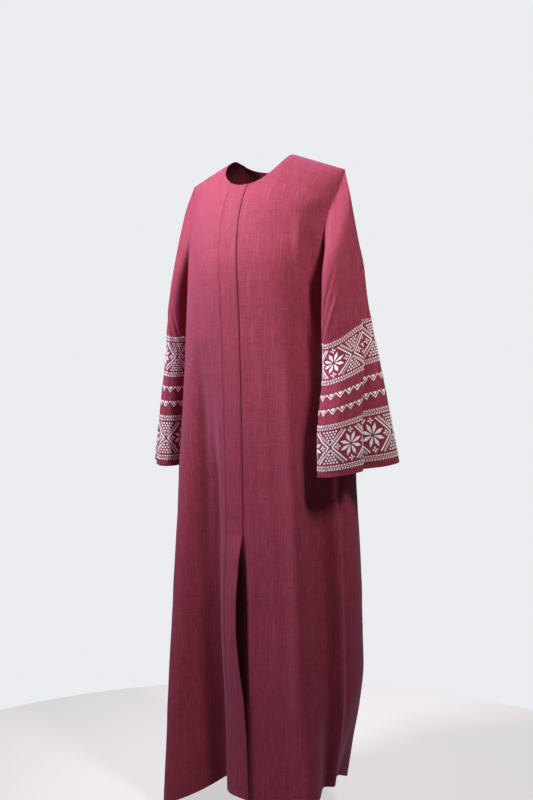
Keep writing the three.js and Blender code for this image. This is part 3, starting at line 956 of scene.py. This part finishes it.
def cuff_surface(grid, is_mirrored):
    """The lower sleeve's outer face by height over the hem and share of the way round, and its outward
    ways."""
    rings = []
    for row in grid:
        whole = np.linalg.norm(np.diff(row, axis=0), axis=1).sum()
        rings.append(along_line(row, np.linspace(0, whole, SURFACE_COLUMNS + 1)))
    rings = np.array(rings)[::-1]
    heights = np.arange(0, SURFACE_TALL, SURFACE_STEP)
    surface = np.stack([along_line(rings[:, j], heights) for j in range(SURFACE_COLUMNS + 1)], axis=1)
    return surface, outward_normals(surface[::-1], True, is_mirrored)[::-1]


def look_up(table, row, column):
    """Values between the rows and columns of a table."""
    row = np.clip(row, 0, table.shape[0] - 1.001)
    column = np.clip(column, 0, table.shape[1] - 1.001)
    i, j = np.floor(row).astype(int), np.floor(column).astype(int)
    s, t = (row - i)[..., None], (column - j)[..., None]
    return mix(mix(table[i, j], table[i, j + 1], t), mix(table[i + 1, j], table[i + 1, j + 1], t), s)


def embroidery_rows():
    """Rows of embroidery: chart, height over the hem, tall in the chart and on the cloth, repeat,
    number round."""
    tooth = stitched_repeat(zigzag_strips())
    band = stitched_repeat(band_strips())
    return [
        (band, 14, CHART_TALL, 108, REPEAT, 5),
        (tooth, 144, TOOTH_TALL, 14, TOOTH_WIDE, 21),
        (tooth, 180, TOOTH_TALL, 14, TOOTH_WIDE, 20),
        (band, 218, CHART_TALL, 98, REPEAT, 4),
    ]


def add_embroidery(name, grid, is_mirrored, phases, tilt):
    """The bands and zigzags of one sleeve. A phase is where a repeat starts, as a share of the way
    round."""
    surface, normal = cuff_surface(grid, is_mirrored)
    points, faces, threads = [], [], []
    count = 0
    for (chart, up, tall, real_tall, wide, number), phase in zip(embroidery_rows(), phases):
        chart_points, chart_faces, chart_threads = chart
        height = up + chart_points[:, 1] * real_tall / tall
        for k in range(number):
            around = (phase + (chart_points[:, 0] / wide + k) / number) % 1
            tilted = height * (1 + tilt * np.cos(2 * math.pi * (around - TILT_HIGH)))
            place = (tilted / SURFACE_STEP, around * SURFACE_COLUMNS)
            points.append(look_up(surface, *place) + look_up(normal, *place) * chart_points[:, 2:])
            faces.append(chart_faces + count)
            threads.append(chart_threads)
            count += len(chart_points)
    return join_stitches(name, points, faces, threads, silver_thread, is_mirrored)


def join_stitches(name, points, faces, threads, material, is_mirrored):
    """Stitches as one mesh, from lists of their points, faces and thread lengths."""
    points, faces, threads = (np.concatenate(parts) for parts in (points, faces, threads))
    mesh = new_mesh(name, points, faces, is_mirrored)
    add_uvs(mesh, "Thread", threads)
    mesh.validate()
    piece = link_object(name, mesh)
    piece.data.materials.append(material)
    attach(piece, "root")
    return piece


SEWN_PITCH = 3.2
SEWN_LONG = 2.3
SEWN_WIDE = 0.9
SEWN_RISE = 0.5
SEWN_TOP_SHARE = 0.4
SEWN_ACROSS = (0, 0.2, 0.7, SEWN_WIDE)


def sewn_row(line, normal):
    """A row of topstitches along a line of points on the cloth: points, faces and thread lengths."""
    run = run_along(line)
    starts = np.arange(SEWN_PITCH / 2, run[-1] - SEWN_LONG, SEWN_PITCH)
    ends = [along_line(line, starts), along_line(line, starts + SEWN_LONG)]
    out = np.stack([np.interp(starts, run, normal[:, k]) for k in range(3)], axis=-1)
    side = np.cross(ends[1] - ends[0], out)
    side = unit(side) * SEWN_WIDE / 2
    rise, sunk = out * SEWN_RISE, -out * STITCH_SUNK
    top = side * SEWN_TOP_SHARE
    corners = []
    for end in ends:
        corners += [end + side + sunk, end + top + rise, end - top + rise, end - side + sunk]
    points = np.stack(corners, axis=1).reshape(-1, 3)
    block = [(0, 1, 5, 4), (1, 2, 6, 5), (2, 3, 7, 6), (3, 0, 4, 7), (3, 2, 1, 0), (4, 5, 6, 7)]
    faces = (np.array(block)[None] + 8 * np.arange(len(starts))[:, None, None]).reshape(-1, 4)
    thread = np.array([[x, y] for x in (0, SEWN_LONG) for y in SEWN_ACROSS])
    threads = np.tile(thread, (len(starts), 1))
    return points, faces, threads


def add_sewn_rows(name, rows):
    """Several rows of topstitches as one piece. A row is a line of points and its outward ways."""
    points, faces, threads = [], [], []
    count = 0
    for line, normal in rows:
        row_points, row_faces, row_threads = sewn_row(line, normal)
        points.append(row_points)
        faces.append(row_faces + count)
        threads.append(row_threads)
        count += len(row_points)
    return join_stitches(name, points, faces, threads, matching_thread, False)


def down_the_cloth(grid, normal, share):
    """A line down a body panel at a share of its width."""
    columns = edge_shares(grid.shape[1] - EDGE_COLUMNS)
    rows = np.arange(len(grid))
    column = np.interp(share, columns, np.arange(len(columns))) + 0 * rows
    return look_up(grid, rows, column), look_up(normal, rows, column)


def along_the_hem(grid, normal, up):
    """A line across a panel at a height over its lower edge."""
    columns = np.arange(grid.shape[1])
    gap = np.linalg.norm(grid[-1] - grid[-2], axis=1)
    row = grid.shape[0] - 1 - up / gap
    return look_up(grid, row, columns), look_up(normal, row, columns)


HEM_UP = 25
SLEEVE_HEM_UP = 11
BAND_STITCH_SHARES = (0.06, 0.95)
LEFT_TILT = 0.07
# Where a star's middle or a tooth's point lies, as a share of the way round: lower band, zigzags, upper
# band.
LEFT_PHASES = (0.355, 0.36, 0.35, 0.255)
RIGHT_PHASES = (0.30, 0.36, 0.35, 0.30)

melange = melange_cloth()
silver_thread = embroidery_thread()
matching_thread = sewing_thread()


def finish_cloth(piece, node):
    piece.data.materials.append(melange)
    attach(piece, "root")
    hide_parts(node)


def add_body_panel(name, node, grid):
    down = -grid[..., 2]
    near_hem = smooth((down - (down[-1] - HEM_TURN_UP)) / TURN_UP_EASE)
    piece = build_cloth(name, grid, mix(CLOTH, HEM_CLOTH, near_hem), is_tube=False, is_mirrored=False)
    finish_cloth(piece, node)


def add_sleeve(name, node, grid, is_right):
    from_hem = run_along(grid[::-1])[::-1]
    near_hem = smooth((SLEEVE_TURN_UP - from_hem) / TURN_UP_EASE)
    piece = build_cloth(name, grid, mix(CLOTH, HEM_CLOTH, near_hem), is_tube=True, is_mirrored=is_right)
    finish_cloth(piece, node)


def hem_stitching(name, grid, is_tube=False, is_mirrored=False):
    """One row along a hem."""
    normal = outward_normals(grid, is_tube, is_mirrored)
    return add_sewn_rows(name, [along_the_hem(grid, normal, SLEEVE_HEM_UP if is_tube else HEM_UP)])


def band_stitching(grid):
    """Rows beside the band's seam and free edge, across its foot, and over its hem."""
    normal = grid_normals(grid, False)
    rows = [down_the_cloth(grid, normal, share) for share in BAND_STITCH_SHARES]
    foot = np.argmin(abs(-grid[:, BAND_COLUMNS // 2, 2] - BAND_FOOT))
    rows.append((grid[foot], normal[foot]))
    rows.append(along_the_hem(grid, normal, HEM_UP))
    return add_sewn_rows("placket_band_stitching", rows)


front_right = front_right_grid()
placket_band = placket_band_grid()
front_left = front_left_grid()
back = back_grid()
sleeve_left = sleeve_grid(LEFT_SLEEVE, LEFT_SLEEVE_FOLDS, False)
sleeve_right = sleeve_grid(RIGHT_SLEEVE, RIGHT_SLEEVE_FOLDS, True)

add_body_panel("front_right_cloth", "front_right", front_right)
add_body_panel("placket_band_cloth", "placket_band", placket_band)
add_body_panel("front_left_cloth", "front_left", front_left)
add_body_panel("back_cloth", "back", back)
add_sleeve("sleeve_left_cloth", "sleeve_left", sleeve_left, False)
add_sleeve("sleeve_right_cloth", "sleeve_right", sleeve_right, True)

SLEEVE_EMBROIDERY = {
    "sleeve_left_cloth": add_embroidery(
        "sleeve_left_embroidery", sleeve_left, is_mirrored=False, phases=LEFT_PHASES, tilt=LEFT_TILT,
    ),
    "sleeve_right_cloth": add_embroidery(
        "sleeve_right_embroidery", sleeve_right, is_mirrored=True, phases=RIGHT_PHASES, tilt=0,
    ),
}
SEWN_ROWS = {
    "placket_band_cloth": band_stitching(placket_band),
    "front_right_cloth": hem_stitching("front_right_stitching", front_right),
    "front_left_cloth": hem_stitching("front_left_stitching", front_left),
    "back_cloth": hem_stitching("back_stitching", back),
    "sleeve_left_cloth": hem_stitching("sleeve_left_stitching", sleeve_left, is_tube=True),
    "sleeve_right_cloth": hem_stitching("sleeve_right_stitching", sleeve_right, True, is_mirrored=True),
}


def add_area_light(name, place, target, size, power, spread, colour):
    light = bpy.data.lights.new(name, "AREA")
    light.shape = "RECTANGLE"
    light.size, light.size_y = size
    light.energy = power
    light.spread = math.radians(spread)
    light.color = to_linear(colour)[:3]
    obj = link_object(name, light)
    obj.location = place
    direction = np.array(target) - np.array(place)
    yaw = math.atan2(-direction[0], direction[1])
    pitch = math.atan2(direction[2], math.hypot(direction[0], direction[1]))
    obj.rotation_euler = (math.pi / 2 + pitch, 0, yaw)


ROOM_LIGHT = 0.12
WALL_LIGHT = 0.95
FLOOR_RADIUS = 1.12
FLOOR_HEIGHT = -1.533
FLOOR_CORNERS = 96


def add_stage():
    """The round floor and the pale room round it."""
    mesh = bpy.data.meshes.new("studio_floor")
    around = np.linspace(0, 2 * math.pi, FLOOR_CORNERS, endpoint=False)
    ring = [(FLOOR_RADIUS * math.cos(a), FLOOR_RADIUS * math.sin(a), FLOOR_HEIGHT) for a in around]
    mesh.from_pydata(ring, [], [list(range(FLOOR_CORNERS))])
    floor = link_object("studio_floor", mesh)
    floor.data.materials.append(pale_floor())
    world = bpy.data.worlds.new("studio")
    world.use_nodes = True
    tree = world.node_tree
    tree.nodes["Background"].inputs["Color"].default_value = to_linear("#F1F2F5")
    seen = add_node(tree, "ShaderNodeLightPath").outputs["Is Camera Ray"]
    strength = ramp(tree, seen, 0, 1, ROOM_LIGHT, WALL_LIGHT)
    tree.links.new(strength, tree.nodes["Background"].inputs["Strength"])
    bpy.context.scene.world = world


CAMERA_TURN = math.radians(31)
CAMERA_FAR = 2.66
CAMERA_HEIGHT = -0.578
SENSOR_TALL = 36
LENS = 50


def add_camera():
    """The view of the photo."""
    data = bpy.data.cameras.new("photo_view")
    data.sensor_fit = "VERTICAL"
    data.sensor_height = SENSOR_TALL
    data.lens = LENS
    camera = link_object("photo_view", data)
    right, back = CAMERA_FAR * math.sin(CAMERA_TURN), -CAMERA_FAR * math.cos(CAMERA_TURN)
    camera.location = (right, back, CAMERA_HEIGHT)
    camera.rotation_euler = (math.pi / 2, 0, CAMERA_TURN)
    bpy.context.scene.camera = camera


add_stage()
add_camera()
add_area_light(
    "key_softbox", place=(-0.9, -1.1, 0.8), target=(0.02, -0.1, -0.05),
    size=(0.5, 0.5), power=20.2, spread=90, colour="#F4EEFF",
)
add_area_light(
    "side_softbox", place=(1.6, -0.85, 0.8), target=(0.26, -0.05, -0.3),
    size=(0.4, 0.5), power=5.1, spread=66, colour="#FFF7F4",
)
bpy.context.scene.view_settings.view_transform = "Standard"
